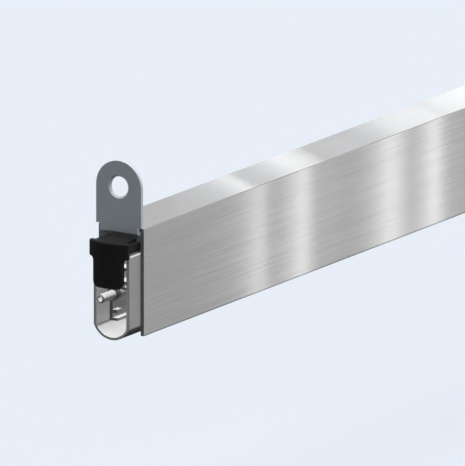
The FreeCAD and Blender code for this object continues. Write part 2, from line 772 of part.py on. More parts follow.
os.makedirs("parts", exist_ok=True)
lug = fixing_lug()
save("housing", housing())
save("fixing_lug_trigger_end", lug)
save("fixing_lug_far_end", at_far_end(lug))
save("lug_screws", lug_screws())
save("pivot_block_front", pivot_block(front_pivot))
save("pivot_block_rear", pivot_block(rear_pivot))
save("block_screws", block_screws())
save("crank_pivot_pins", pivot_pins())
save("bar_guide_pins", bar_guide_pins())
save("push_bar", push_bar())
save("return_spring", return_spring())
save("crank_front", crank(front_pivot))
save("crank_rear", crank(rear_pivot))
save("crank_pins_front", crank_pins(front_pivot))
save("crank_pins_rear", crank_pins(rear_pivot))
save("trigger", trigger())
save("slide_block", slide_block())
save("trigger_pin", trigger_pin())
save("adjusting_spindle", adjusting_spindle())
save("spindle_collar", spindle_collar())
save("spindle_clip", spindle_clip())
save("seal_carrier", seal_carrier())
save("seal", seal())
save("drop_bracket_front", drop_bracket(front_pivot))
save("drop_bracket_rear", drop_bracket(rear_pivot))
save("bracket_rivets", bracket_rivets())
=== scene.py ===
import json
import math
import bpy
import bmesh
from mathutils import Matrix, Vector


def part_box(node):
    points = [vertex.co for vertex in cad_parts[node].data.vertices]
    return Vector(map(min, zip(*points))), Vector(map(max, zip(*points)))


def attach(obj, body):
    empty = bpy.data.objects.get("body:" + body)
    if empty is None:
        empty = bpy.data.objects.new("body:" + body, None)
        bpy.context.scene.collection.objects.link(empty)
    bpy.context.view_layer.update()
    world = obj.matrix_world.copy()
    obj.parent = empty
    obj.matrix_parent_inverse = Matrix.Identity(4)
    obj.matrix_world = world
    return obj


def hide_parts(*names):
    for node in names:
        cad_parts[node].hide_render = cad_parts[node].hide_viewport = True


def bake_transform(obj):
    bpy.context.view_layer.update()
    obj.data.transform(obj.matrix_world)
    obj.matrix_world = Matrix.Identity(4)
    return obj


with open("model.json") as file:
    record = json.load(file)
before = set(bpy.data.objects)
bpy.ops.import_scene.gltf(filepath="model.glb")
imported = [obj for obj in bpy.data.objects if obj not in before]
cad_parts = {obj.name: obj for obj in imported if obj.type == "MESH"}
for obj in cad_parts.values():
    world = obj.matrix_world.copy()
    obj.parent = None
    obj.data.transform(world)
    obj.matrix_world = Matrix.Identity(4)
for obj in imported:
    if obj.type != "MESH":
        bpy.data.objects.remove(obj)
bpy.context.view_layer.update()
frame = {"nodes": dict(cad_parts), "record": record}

# Automatic door bottom seal: finishes, studio and the parts that need finer meshes than the frame gives.
# X runs along the rail from the trigger end, -Y is the front and +Z is up.
nodes = frame["nodes"]
scene = bpy.context.scene
mm = 0.001
backdropColour = (0.799, 0.855, 0.939, 1)  # the pale blue behind the rail
sawnDepth = 0.12 * mm  # how far in from a cut end the sawn finish and its painted shade reach


# Camera: a very long lens, so that parallel edges stay parallel
cameraSet = {
    "azimuth": -57.5,
    "elevation": 14.0,
    "lens": 1700.0,
    "sensor": 36.0,
    "frameHeight": 127.67 * mm,  # what the picture's height covers at the rail
    "aim": Vector((56.6, 0.0, -25.04)) * mm,
}


def towardsCamera():
    a = math.radians(cameraSet["azimuth"])
    e = math.radians(cameraSet["elevation"])
    return Vector((math.sin(a) * math.cos(e), -math.cos(a) * math.cos(e), math.sin(e)))


def makeCamera():
    data = bpy.data.cameras.new("camera")
    camera = bpy.data.objects.new("camera", data)
    scene.collection.objects.link(camera)
    data.lens = cameraSet["lens"]
    data.sensor_width = cameraSet["sensor"]
    distance = cameraSet["frameHeight"] * data.lens / data.sensor_width
    camera.location = cameraSet["aim"] + towardsCamera() * distance
    camera.rotation_mode = "QUATERNION"
    camera.rotation_quaternion = (-towardsCamera()).to_track_quat("-Z", "Y")
    data.clip_start = 0.1
    data.clip_end = 200.0
    scene.camera = camera


makeCamera()
scene.view_settings.view_transform = "Standard"
print("camera ready")


# Small helpers for node trees
def addNode(tree, kind, **settings):
    node = tree.nodes.new(kind)
    for key, value in settings.items():
        setattr(node, key, value)
    return node


def join(tree, source, output, target, socket):
    tree.links.new(source.outputs[output], target.inputs[socket])


def mathNode(tree, operation, first, second=None, third=None, clamp=False):
    node = addNode(tree, "ShaderNodeMath", operation=operation, use_clamp=clamp)
    for place, value in enumerate((first, second, third)):
        if value is None:
            continue
        if isinstance(value, (int, float)):
            node.inputs[place].default_value = value
        else:
            tree.links.new(value, node.inputs[place])
    return node.outputs[0]


def startGroup(name, inputs, outputs):
    group = bpy.data.node_groups.new(name, "ShaderNodeTree")
    for label, value in inputs:
        socket = group.interface.new_socket(name=label, in_out="INPUT", socket_type="NodeSocketFloat")
        socket.default_value = value
    for label in outputs:
        group.interface.new_socket(name=label, in_out="OUTPUT", socket_type="NodeSocketFloat")
    start = group.nodes.new("NodeGroupInput")
    end = group.nodes.new("NodeGroupOutput")
    return group, start, end


def objectAxes(tree):
    coords = addNode(tree, "ShaderNodeTexCoord")
    split = addNode(tree, "ShaderNodeSeparateXYZ")
    join(tree, coords, "Object", split, "Vector")
    return split.outputs[0], split.outputs[1], split.outputs[2]


def gather(tree, x, y, z):
    node = addNode(tree, "ShaderNodeCombineXYZ")
    for place, value in enumerate((x, y, z)):
        if isinstance(value, (int, float)):
            node.inputs[place].default_value = value
        else:
            tree.links.new(value, node.inputs[place])
    return node.outputs[0]


def noise(tree, vector, scale, detail, roughness=0.55):
    node = addNode(tree, "ShaderNodeTexNoise", noise_dimensions="3D")
    tree.links.new(vector, node.inputs["Vector"])
    node.inputs["Scale"].default_value = scale
    node.inputs["Detail"].default_value = detail
    node.inputs["Roughness"].default_value = roughness
    return node.outputs[0]


def spread(tree, value, low, high):
    node = addNode(tree, "ShaderNodeMapRange", clamp=True)
    tree.links.new(value, node.inputs["Value"])
    node.inputs["From Min"].default_value = low
    node.inputs["From Max"].default_value = high
    return node.outputs[0]


# Shared effects
def makeDrawnLines():
    group, start, end = startGroup("drawnLines", [("Line Length", 40 * mm), ("Line Width", 0.4 * mm)],
                                   ["Lines", "Height"])
    x, y, z = objectAxes(group)
    along = mathNode(group, "DIVIDE", x, start.outputs["Line Length"])
    acrossY = mathNode(group, "DIVIDE", y, start.outputs["Line Width"])
    acrossZ = mathNode(group, "DIVIDE", z, start.outputs["Line Width"])
    wide = noise(group, gather(group, along, acrossY, acrossZ), 0.2, 1.0)
    middle = noise(group, gather(group, along, acrossY, acrossZ), 0.7, 0.0)
    fine = noise(group, gather(group, mathNode(group, "MULTIPLY", along, 1.6), acrossY, acrossZ), 1.25, 0.0)
    both = mathNode(group, "MULTIPLY_ADD", wide, 0.1, mathNode(group, "MULTIPLY", middle, 0.4))
    both = mathNode(group, "MULTIPLY_ADD", fine, 0.5, both)
    group.links.new(spread(group, both, 0.34, 0.66), end.inputs["Lines"])
    group.links.new(fine, end.inputs["Height"])
    return group


# Cut ends: a mask for the sawn ends with their saw marks; the materials paint these ends darker, partly sawn finish
# and partly painted shade
def makeCutFaces():
    group, start, end = startGroup("cutFaces", [("Start", 0.0), ("End", 1.0), ("Depth", 0.1 * mm)],
                                   ["Mask", "Saw Marks"])
    x, y, z = objectAxes(group)
    near = mathNode(group, "LESS_THAN", x, mathNode(group, "ADD", start.outputs["Start"], start.outputs["Depth"]))
    far = mathNode(group, "GREATER_THAN", x, mathNode(group, "SUBTRACT", start.outputs["End"], start.outputs["Depth"]))
    group.links.new(mathNode(group, "MAXIMUM", near, far), end.inputs["Mask"])
    slanted = mathNode(group, "ADD", y, mathNode(group, "MULTIPLY", z, 0.25))
    marks = noise(group, gather(group, 0.0, mathNode(group, "MULTIPLY", slanted, 3500.0),
                                mathNode(group, "MULTIPLY", z, 260.0)), 1.0, 3.0, 0.6)
    group.links.new(spread(group, marks, 0.32, 0.68), end.inputs["Saw Marks"])
    return group


def makeMottle():
    group, start, end = startGroup("mottle", [("Patch Size", 2 * mm), ("Grain Size", 0.2 * mm), ("Strength", 0.2)],
                                   ["Factor", "Height"])
    coords = addNode(group, "ShaderNodeTexCoord")
    patch = addNode(group, "ShaderNodeTexNoise")
    grain = addNode(group, "ShaderNodeTexNoise")
    for node, size, detail in ((patch, "Patch Size", 3.0), (grain, "Grain Size", 4.0)):
        join(group, coords, "Object", node, "Vector")
        group.links.new(mathNode(group, "DIVIDE", 1.0, start.outputs[size]), node.inputs["Scale"])
        node.inputs["Detail"].default_value = detail
    mixed = mathNode(group, "ADD", mathNode(group, "MULTIPLY", patch.outputs[0], 0.6),
                     mathNode(group, "MULTIPLY", grain.outputs[0], 0.4))
    centred = mathNode(group, "SUBTRACT", mixed, 0.5)
    scaled = mathNode(group, "MULTIPLY", centred, mathNode(group, "MULTIPLY", start.outputs["Strength"], 3.0))
    group.links.new(mathNode(group, "ADD", scaled, 1.0), end.inputs["Factor"])
    group.links.new(grain.outputs[0], end.inputs["Height"])
    return group


def makeThreadForm():
    group, start, end = startGroup("threadForm", [("Pitch", 0.5 * mm), ("Axis Y", 0.0), ("Axis Z", 0.0),
                                                  ("From", 0.0), ("To", 1.0)], ["Height", "Mask"])
    x, y, z = objectAxes(group)
    angle = mathNode(group, "ARCTAN2", mathNode(group, "SUBTRACT", z, start.outputs["Axis Z"]),
                     mathNode(group, "SUBTRACT", y, start.outputs["Axis Y"]))
    turn = mathNode(group, "DIVIDE", angle, 2 * math.pi)
    wave = mathNode(group, "FRACT", mathNode(group, "ADD", mathNode(group, "DIVIDE", x, start.outputs["Pitch"]), turn))
    ridge = mathNode(group, "ABSOLUTE", mathNode(group, "SUBTRACT", wave, 0.5))
    after = mathNode(group, "GREATER_THAN", x, start.outputs["From"])
    before = mathNode(group, "LESS_THAN", x, start.outputs["To"])
    mask = mathNode(group, "MULTIPLY", after, before)
    group.links.new(mathNode(group, "MULTIPLY", mathNode(group, "MULTIPLY", ridge, 2.0), mask), end.inputs["Height"])
    group.links.new(mask, end.inputs["Mask"])
    return group


# A band at one height, used for painted shade along a crease
def makeCreaseShadeLine():
    group, start, end = startGroup("creaseShadeLine", [("Level", 0.0), ("Height", 0.3 * mm), ("Half Width", 5 * mm)],
                                   ["Mask"])
    x, y, z = objectAxes(group)
    off = mathNode(group, "ABSOLUTE", mathNode(group, "SUBTRACT", z, start.outputs["Level"]))
    share = mathNode(group, "DIVIDE", off, mathNode(group, "MULTIPLY", start.outputs["Height"], 0.5))
    fade = mathNode(group, "SUBTRACT", 1.5, share, clamp=True)
    within = mathNode(group, "LESS_THAN", mathNode(group, "ABSOLUTE", y), start.outputs["Half Width"])
    group.links.new(mathNode(group, "MULTIPLY", fade, within), end.inputs["Mask"])
    return group


# Masks from the surface normal for painted light and shade: Up grows as a face turns up, Edge marks faces that don't
# face along the rail
def makeFacingShadeMasks():
    group, start, end = startGroup("facingShadeMasks", [("From", 0.3), ("To", 0.8)], ["Up", "Edge"])
    shape = addNode(group, "ShaderNodeNewGeometry")
    split = addNode(group, "ShaderNodeSeparateXYZ")
    join(group, shape, "Normal", split, "Vector")
    fade = addNode(group, "ShaderNodeMapRange", clamp=True, interpolation_type="SMOOTHSTEP")
    group.links.new(split.outputs[2], fade.inputs["Value"])
    group.links.new(start.outputs["From"], fade.inputs["From Min"])
    group.links.new(start.outputs["To"], fade.inputs["From Max"])
    group.links.new(fade.outputs[0], end.inputs["Up"])
    along = mathNode(group, "ABSOLUTE", split.outputs[0])
    group.links.new(mathNode(group, "SUBTRACT", 1.0, spread(group, along, 0.5, 0.95)), end.inputs["Edge"])
    return group


drawnLines = makeDrawnLines()
cutFaces = makeCutFaces()
mottle = makeMottle()
threadForm = makeThreadForm()
creaseShadeLine = makeCreaseShadeLine()
facingShadeMasks = makeFacingShadeMasks()


def useGroup(tree, group, **values):
    node = addNode(tree, "ShaderNodeGroup", node_tree=group)
    for label, value in values.items():
        node.inputs[label.replace("_", " ")].default_value = value
    return node


def startMaterial(name, look):
    mat = bpy.data.materials.new(name)
    mat.use_nodes = True
    tree = mat.node_tree
    shader = tree.nodes["Principled BSDF"]
    shader.inputs["Metallic"].default_value = look.get("metallic", 0.0)
    shader.inputs["Roughness"].default_value = look.get("roughness", 0.5)
    shader.inputs["Specular IOR Level"].default_value = look.get("specular", 0.5)
    shader.inputs["Anisotropic"].default_value = look.get("anisotropic", 0.0)
    if "anisotropic" in look:
        shader.inputs["Anisotropic Rotation"].default_value = 0.25
        tree.links.new(gather(tree, 1.0, 0.02, 0.02), shader.inputs["Tangent"])
    return mat, tree, shader


def blendColours(tree, factor, first, second, mode="MIX"):
    node = addNode(tree, "ShaderNodeMix", data_type="RGBA", blend_type=mode)
    if isinstance(factor, (int, float)):
        node.inputs[0].default_value = factor
    else:
        tree.links.new(factor, node.inputs[0])
    for place, value in ((6, first), (7, second)):
        if isinstance(value, tuple):
            node.inputs[place].default_value = value
        else:
            tree.links.new(value, node.inputs[place])
    return node.outputs[2]


def addBump(tree, shader, height, depth, strength=1.0):
    bump = addNode(tree, "ShaderNodeBump")
    bump.inputs["Strength"].default_value = strength
    bump.inputs["Distance"].default_value = depth
    tree.links.new(height, bump.inputs["Height"])
    join(tree, bump, "Normal", shader, "Normal")


# Painted light and shade by facing: with side, faces that don't face up are painted darker as painted shade; with
# edge, the edges are painted lighter as a painted highlight
def paintLightAndShadeByFacing(tree, look, colour):
    if "side" in look:
        facing = useGroup(tree, facingShadeMasks, From=look["turn"][0], To=look["turn"][1])
        sides = blendColours(tree, 1.0, colour, look["side"], "MULTIPLY")
        return blendColours(tree, facing.outputs["Up"], sides, colour)
    if "edge" in look:
        facing = useGroup(tree, facingShadeMasks)
        return blendColours(tree, facing.outputs["Edge"], colour, look["edge"])
    return colour


def greys(level, warm=0.0):
    return (level * (1 + warm), level, level * (1 - warm), 1)


def drawnMetal(name, look):
    mat, tree, shader = startMaterial(name, look)
    lines = useGroup(tree, drawnLines, Line_Length=look["lineLength"], Line_Width=look["lineWidth"])
    ends = useGroup(tree, cutFaces, Start=look["start"], End=look["end"], Depth=sawnDepth)
    face = blendColours(tree, lines.outputs["Lines"], look["dark"], look["light"])
    face = paintLightAndShadeByFacing(tree, look, face)
    # Painted shade: a band along the rail's bottom edge is darkened
    if "bottomShadeBand" in look:
        x, y, z = objectAxes(tree)
        near = mathNode(tree, "LESS_THAN", z, look["bottom"] + look["bottomShadeBand"])
        shaded = blendColours(tree, 1.0, face, greys(look["lowerShade"]), "MULTIPLY")
        face = blendColours(tree, near, face, shaded)
    # The cut ends get saw marks in colours darker than the face: real sawn finish plus painted shade
    sawn = blendColours(tree, ends.outputs["Saw Marks"], look["sawnShadedDark"], look["sawnShadedLight"])
    colour = blendColours(tree, ends.outputs["Mask"], face, sawn)
    tree.links.new(colour, shader.inputs["Base Color"])
    rough = mathNode(tree, "MULTIPLY_ADD", lines.outputs["Lines"], look["roughnessChange"], look["roughness"])
    rough = mathNode(tree, "MULTIPLY_ADD", ends.outputs["Mask"], 0.3, rough, clamp=True)
    tree.links.new(rough, shader.inputs["Roughness"])
    addBump(tree, shader, lines.outputs["Height"], look["lineDepth"], 0.5)
    return mat


def mottledMetal(name, look):
    mat, tree, shader = startMaterial(name, look)
    patches = useGroup(tree, mottle, Patch_Size=look["patch"], Grain_Size=look["grain"], Strength=look["contrast"])
    value = blendColours(tree, 1.0, look["colour"], patches.outputs["Factor"], "MULTIPLY")
    value = paintLightAndShadeByFacing(tree, look, value)
    tree.links.new(value, shader.inputs["Base Color"])
    change = mathNode(tree, "SUBTRACT", patches.outputs["Factor"], 1.0)
    rough = mathNode(tree, "MULTIPLY_ADD", change, look["roughnessChange"], look["roughness"], clamp=True)
    tree.links.new(rough, shader.inputs["Roughness"])
    addBump(tree, shader, patches.outputs["Height"], look["bump"], 0.6)
    return mat


railEnds = (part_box("housing")[0][0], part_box("housing")[1][0])
carrierEnds = (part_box("seal_carrier")[0][0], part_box("seal_carrier")[1][0])
sealEnds = (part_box("seal")[0][0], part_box("seal")[1][0])

railLook = {
    "metallic": 0.8, "roughness": 0.245, "roughnessChange": 0.01, "anisotropic": 1.0,
    "lineLength": 55 * mm, "lineWidth": 0.5 * mm, "lineDepth": 0.00006 * mm,
    # A band along the rail's bottom edge is painted darker, a painted shade
    "bottomShadeBand": 0.28 * mm, "lowerShade": 0.3,
    "dark": (0.392, 0.368, 0.338, 1), "light": (0.438, 0.41, 0.375, 1),
    "sawnShadedDark": greys(0.07), "sawnShadedLight": greys(0.16),
    "start": railEnds[0], "end": railEnds[1], "bottom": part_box("housing")[0][2],
}
carrierLook = {
    "metallic": 0.12, "roughness": 0.36, "roughnessChange": 0.08,
    "lineLength": 30 * mm, "lineWidth": 0.8 * mm, "lineDepth": 0.002 * mm,
    # side and turn: the carrier's walls and other faces that don't face up are painted darker, a painted shade
    "dark": greys(0.6), "light": greys(0.68), "side": greys(0.33, 0.04), "turn": (0.5, 0.9),
    "sawnShadedDark": greys(0.07), "sawnShadedLight": greys(0.15),
    "start": carrierEnds[0], "end": carrierEnds[1],
}
lugLook = {
    "colour": (0.27, 0.295, 0.305, 1), "metallic": 0.3, "roughness": 0.42, "roughnessChange": 0.5,
    "patch": 3.5 * mm, "grain": 0.35 * mm, "contrast": 0.12, "bump": 0.01 * mm,
    # edge: the lug's edges are painted lighter than its faces, a painted highlight
    "edge": (0.48, 0.49, 0.5, 1),
}
fittingLook = {
    "colour": (0.11, 0.115, 0.12, 1), "metallic": 0.3, "roughness": 0.42, "roughnessChange": 0.5,
    "patch": 2.5 * mm, "grain": 0.3 * mm, "contrast": 0.2, "bump": 0.01 * mm,
}
blackSteelLook = {
    "colour": greys(0.035), "metallic": 0.6, "roughness": 0.38, "roughnessChange": 0.5,
    "patch": 3 * mm, "grain": 0.3 * mm, "contrast": 0.3, "bump": 0.01 * mm,
}
castLook = {
    "colour": (0.7, 0.7, 0.695, 1), "metallic": 0.05, "roughness": 0.5, "roughnessChange": 0.6,
    "patch": 1.6 * mm, "grain": 0.22 * mm, "contrast": 0.16, "bump": 0.03 * mm,
    # side and turn: faces of the cast parts that don't face up are painted darker, a painted shade
    "side": greys(0.36), "turn": (0.1, 0.65),
}
brightLook = {
    "colour": (0.6, 0.6, 0.595, 1), "metallic": 0.1, "roughness": 0.3, "roughnessChange": 0.5,
    "patch": 1.5 * mm, "grain": 0.2 * mm, "contrast": 0.1, "bump": 0.004 * mm,
    # side and turn: faces of the bright steel parts that don't face up are painted darker, a painted shade
    "side": greys(0.33), "turn": (-0.2, 0.5),
}
springLook = {
    "colour": (0.5, 0.5, 0.51, 1), "metallic": 0.8, "roughness": 0.28, "roughnessChange": 0.4,
    "patch": 2.5 * mm, "grain": 0.15 * mm, "contrast": 0.12, "bump": 0.004 * mm,
}


threadLook = {
    "pitch": 0.5 * mm, "depth": 0.22 * mm, "afterClip": 2 * mm, "beforeEnd": 0.3 * mm,
    "mouth": 0.42 * mm, "mouthShade": 0.3,  # the spindle's end, up to this far in, is painted darker, a painted shade
}


def spindleMaterial(look, thread):
    mat = mottledMetal("spindleSteel", look)
    tree = mat.node_tree
    shader = tree.nodes["Principled BSDF"]
    lo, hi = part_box("adjusting_spindle")
    form = useGroup(tree, threadForm, Pitch=thread["pitch"],
                    Axis_Y=(lo[1] + hi[1]) / 2, Axis_Z=(lo[2] + hi[2]) / 2,
                    From=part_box("spindle_clip")[1][0] + thread["afterClip"], To=hi[0] - thread["beforeEnd"])
    addBump(tree, shader, form.outputs["Height"], thread["depth"])
    source = shader.inputs["Base Color"].links[0].from_socket
    x, y, z = objectAxes(tree)
    # Painted shade: the end of the spindle around its socket is darkened
    mouth = mathNode(tree, "LESS_THAN", x, lo[0] + thread["mouth"])
    mouthShaded = blendColours(tree, 1.0, source, greys(thread["mouthShade"]), "MULTIPLY")
    tree.links.new(blendColours(tree, mouth, source, mouthShaded), shader.inputs["Base Color"])
    return mat


nylonLook = {
    "metallic": 0.0, "roughness": 0.42, "specular": 0.04,
    "dark": greys(0.008), "light": greys(0.018),
    "patch": 2.2 * mm, "grain": 0.16 * mm, "bump": 0.02 * mm,
}


def nylonMaterial(look):
    mat, tree, shader = startMaterial("blackNylon", look)
    skin = useGroup(tree, mottle, Patch_Size=look["patch"], Grain_Size=look["grain"], Strength=1.0)
    amount = mathNode(tree, "MULTIPLY", skin.outputs["Factor"], 0.5, clamp=True)
    tree.links.new(blendColours(tree, amount, look["dark"], look["light"]), shader.inputs["Base Color"])
    rough = mathNode(tree, "MULTIPLY_ADD", skin.outputs["Height"], 0.14, look["roughness"] - 0.07)
    tree.links.new(rough, shader.inputs["Roughness"])
    addBump(tree, shader, skin.outputs["Height"], look["bump"], 0.5)
    return mat


siliconeLook = {
    "metallic": 0.0, "roughness": 0.58, "specular": 0.01, "bump": 0.02 * mm,
    # cut paints the seal's cut ends a little darker, a painted shade
    "colour": (0.45, 0.45, 0.453, 1), "cut": (0.42, 0.42, 0.425, 1),
    "lineLength": 70 * mm, "lineWidth": 1.4 * mm, "patch": 4 * mm, "grain": 0.25 * mm, "contrast": 0.07,
    "creaseShade": 0.42, "creaseHeight": 0.34 * mm,  # painted shade in the crease where the wall meets the carrier's floor
    "undersideShade": 0.1, "turn": (-0.8, -0.15),  # the nose is painted darker as it turns down, a painted shade
    "start": sealEnds[0], "end": sealEnds[1],
}


def siliconeMaterial(look):
    mat, tree, shader = startMaterial("greySilicone", look)
    skin = useGroup(tree, mottle, Patch_Size=look["patch"], Grain_Size=look["grain"], Strength=look["contrast"])
    flow = useGroup(tree, drawnLines, Line_Length=look["lineLength"], Line_Width=look["lineWidth"])
    ends = useGroup(tree, cutFaces, Start=look["start"], End=look["end"], Depth=sawnDepth)
    # Painted shade: the seal's cut ends take the darker cut colour
    base = blendColours(tree, ends.outputs["Mask"], look["colour"], look["cut"])
    base = blendColours(tree, 1.0, base, skin.outputs["Factor"], "MULTIPLY")
    flowShade = mathNode(tree, "MULTIPLY_ADD", flow.outputs["Lines"], 0.05, 0.975)
    base = blendColours(tree, 1.0, base, flowShade, "MULTIPLY")
    # Painted shade: a dark line in the crease at the carrier's bottom
    inside = useGroup(tree, creaseShadeLine, Level=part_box("seal_carrier")[0][2], Height=look["creaseHeight"],
                      Half_Width=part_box("seal_carrier")[1][1] + 0.05 * mm)
    creaseShaded = blendColours(tree, 1.0, base, greys(look["creaseShade"]), "MULTIPLY")
    base = blendColours(tree, inside.outputs["Mask"], base, creaseShaded)
    # Painted shade: faces turning down are darkened
    facing = useGroup(tree, facingShadeMasks, From=look["turn"][0], To=look["turn"][1])
    undersideShaded = blendColours(tree, 1.0, base, greys(look["undersideShade"]), "MULTIPLY")
    base = blendColours(tree, facing.outputs["Up"], undersideShaded, base)
    tree.links.new(base, shader.inputs["Base Color"])
    rough = mathNode(tree, "MULTIPLY_ADD", skin.outputs["Height"], 0.16, look["roughness"] - 0.08)
    tree.links.new(rough, shader.inputs["Roughness"])
    height = mathNode(tree, "MULTIPLY_ADD", flow.outputs["Height"], 0.6, skin.outputs["Height"])
    addBump(tree, shader, height, look["bump"], 0.5)
    return mat


finishes = {
    "brushed_aluminium": drawnMetal("brushedAluminium", railLook),
    "mill_aluminium": drawnMetal("millAluminium", carrierLook),
    "zinc_steel": mottledMetal("zincSteel", lugLook),
    "black_steel": mottledMetal("blackSteel", blackSteelLook),
    "cast_zinc": mottledMetal("castZinc", castLook),
    "bright_steel": mottledMetal("brightSteel", brightLook),
    "spring_steel": mottledMetal("springSteel", springLook),
    "black_nylon": nylonMaterial(nylonLook),
    "grey_silicone": siliconeMaterial(siliconeLook),
}
slotOf = {row["node"]: row["material_slot"] for row in frame["record"]["subparts"]}
for name, obj in nodes.items():
    obj.data.materials.clear()
    obj.data.materials.append(finishes[slotOf[name]])
nodes["adjusting_spindle"].data.materials[0] = spindleMaterial(brightLook, threadLook)
nodes["spindle_collar"].data.materials[0] = mottledMetal("collarSteel", fittingLook)
print("finishes ready")


# Softened edges on the bent and cast pieces that the end of the rail shows
def softenEdges(name, width, angle=35.0, segments=2):
    obj = nodes[name]
    weld = obj.modifiers.new("weld", "WELD")
    weld.merge_threshold = 0.004 * mm
    bevel = obj.modifiers.new("edges", "BEVEL")
    bevel.width = width
    bevel.segments = segments
    bevel.limit_method = "ANGLE"
    bevel.angle_limit = math.radians(angle)
    bevel.use_clamp_overlap = True
    shade = obj.modifiers.new("shading", "WEIGHTED_NORMAL")
    shade.keep_sharp = False
    shade.weight = 50


edgeWidths = {
    "fixing_lug_trigger_end": 0.12 * mm,
    "fixing_lug_far_end": 0.12 * mm,
    "slide_block": 0.12 * mm,
}
for name, width in edgeWidths.items():
    softenEdges(name, width)


# Seal: a soft U with a rounded nose, beads over the carrier's top edges and a narrow seat under it
sealSet = {
    "wall": 1.05 * mm,
    "noseWall": 0.75 * mm,
    "noseDepth": 3.9 * mm,
    "noseSteps": 22,
    "beadReach": 0.5 * mm,
    "beadRoot": 0.1 * mm,  # of the bead inside the wall
    "beadHeight": 0.6 * mm,
    "seatReach": 0.2 * mm,
    "softEdge": 0.13 * mm,
    "lengthSteps": 12,
}


def addBead(bm, look, side, wall, foot):
    x0, x1 = carrierEnds
    edge = wall - side * look["beadReach"]
    root = wall + side * look["beadRoot"]
    corners = [(root, foot), (edge, foot), (edge, foot + look["beadHeight"] / 2), (wall, foot + look["beadHeight"]),
               (root, foot + look["beadHeight"])]
    face = bm.faces.new([bm.verts.new((x0, y, z)) for y, z in corners])
    grown = bmesh.ops.extrude_face_region(bm, geom=[face])["geom"]
    bmesh.ops.translate(bm, verts=[v for v in grown if isinstance(v, bmesh.types.BMVert)], vec=(x1 - x0, 0, 0))
    region = {face}.union(f for f in grown if isinstance(f, bmesh.types.BMFace))
    for v in list(face.verts):
        region.update(v.link_faces)
    bmesh.ops.recalc_face_normals(bm, faces=list(region))


def makeSeal(look):
    lo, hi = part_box("seal")
    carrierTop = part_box("seal_carrier")[1][2]
    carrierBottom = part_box("seal_carrier")[0][2]
    half = hi[1]
    inner = half - look["wall"]
    noseStart = lo[2] + look["noseDepth"]
    radius = (half ** 2 + look["noseDepth"] ** 2) / (2 * look["noseDepth"])
    centre = Vector((lo[0], 0, lo[2] + radius))
    swing = math.asin(half / radius)
    innerRadius = radius - look["noseWall"]
    seat = inner - look["seatReach"]
    innerStart = centre.z - math.sqrt(innerRadius ** 2 - seat ** 2)
    innerSwing = math.asin(seat / innerRadius)
    bm = bmesh.new()

    def path(points):
        verts = [bm.verts.new((lo[0], y, z)) for y, z in points]
        return verts, [bm.edges.new(pair) for pair in zip(verts, verts[1:])]

    def sweep(vert, angle):
        turned = bmesh.ops.spin(bm, geom=[vert], cent=centre, axis=(1, 0, 0), angle=angle,
                                steps=look["noseSteps"], use_duplicate=False)
        return [v for v in turned["geom_last"] if isinstance(v, bmesh.types.BMVert)][0]

    outer, _ = path([(-half, hi[2]), (-half, noseStart)])
    sweep(outer[1], 2 * swing)
    path([(half, noseStart), (half, hi[2])])
    for side in (-1, 1):
        wall = side * inner
        path([
            (side * half, hi[2]),
            (wall, hi[2]),
            (wall, carrierBottom),
            (side * seat, carrierBottom),
            (side * seat, innerStart),
        ])
    bm.verts.ensure_lookup_table()
    first = [v for v in bm.verts if abs(v.co.y + seat) < 1e-7 and abs(v.co.z - innerStart) < 1e-7][0]
    sweep(first, 2 * innerSwing)
    bmesh.ops.remove_doubles(bm, verts=bm.verts, dist=0.005 * mm)
    bmesh.ops.contextual_create(bm, geom=bm.edges)
    face = bm.faces[:]
    step = (hi[0] - lo[0]) / look["lengthSteps"]
    geom = face
    for _ in range(look["lengthSteps"]):
        grown = bmesh.ops.extrude_face_region(bm, geom=geom)["geom"]
        geom = [f for f in grown if isinstance(f, bmesh.types.BMFace)]
        moved = [v for v in grown if isinstance(v, bmesh.types.BMVert)]
        bmesh.ops.translate(bm, verts=moved, vec=(step, 0, 0))
    bmesh.ops.recalc_face_normals(bm, faces=bm.faces)
    sharp = [e for e in bm.edges if len(e.link_faces) == 2 and e.calc_face_angle(0) > math.radians(30)
             and not all(abs(v.co.z - carrierBottom) < 0.01 * mm for v in e.verts)]
    bmesh.ops.bevel(bm, geom=sharp, offset=look["softEdge"], offset_type="OFFSET", segments=2, profile=0.5,
                    affect="EDGES", clamp_overlap=True, material=-1)
    for side in (-1, 1):
        addBead(bm, look, side, side * inner, carrierTop)
    for f in bm.faces:
        f.smooth = True
    mesh = bpy.data.meshes.new("sealStrip")
    bm.to_mesh(mesh)
    bm.free()
    piece = bpy.data.objects.new("sealStrip", mesh)
    scene.collection.objects.link(piece)
    mesh.materials.append(finishes["grey_silicone"])
    shade = piece.modifiers.new("shading", "WEIGHTED_NORMAL")
    shade.keep_sharp = False
    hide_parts("seal")
    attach(piece, "drop")
    return piece


sealStrip = makeSeal(sealSet)
print("seal made", len(sealStrip.data.polygons))


# Return spring: drawn wire with closed end coils
springSet = {
    "wire": 0.5 * mm,
    "activeTurns": 7,
    "endTurns": 1.5,
    "turnSteps": 28,
    "wireSides": 12,
}


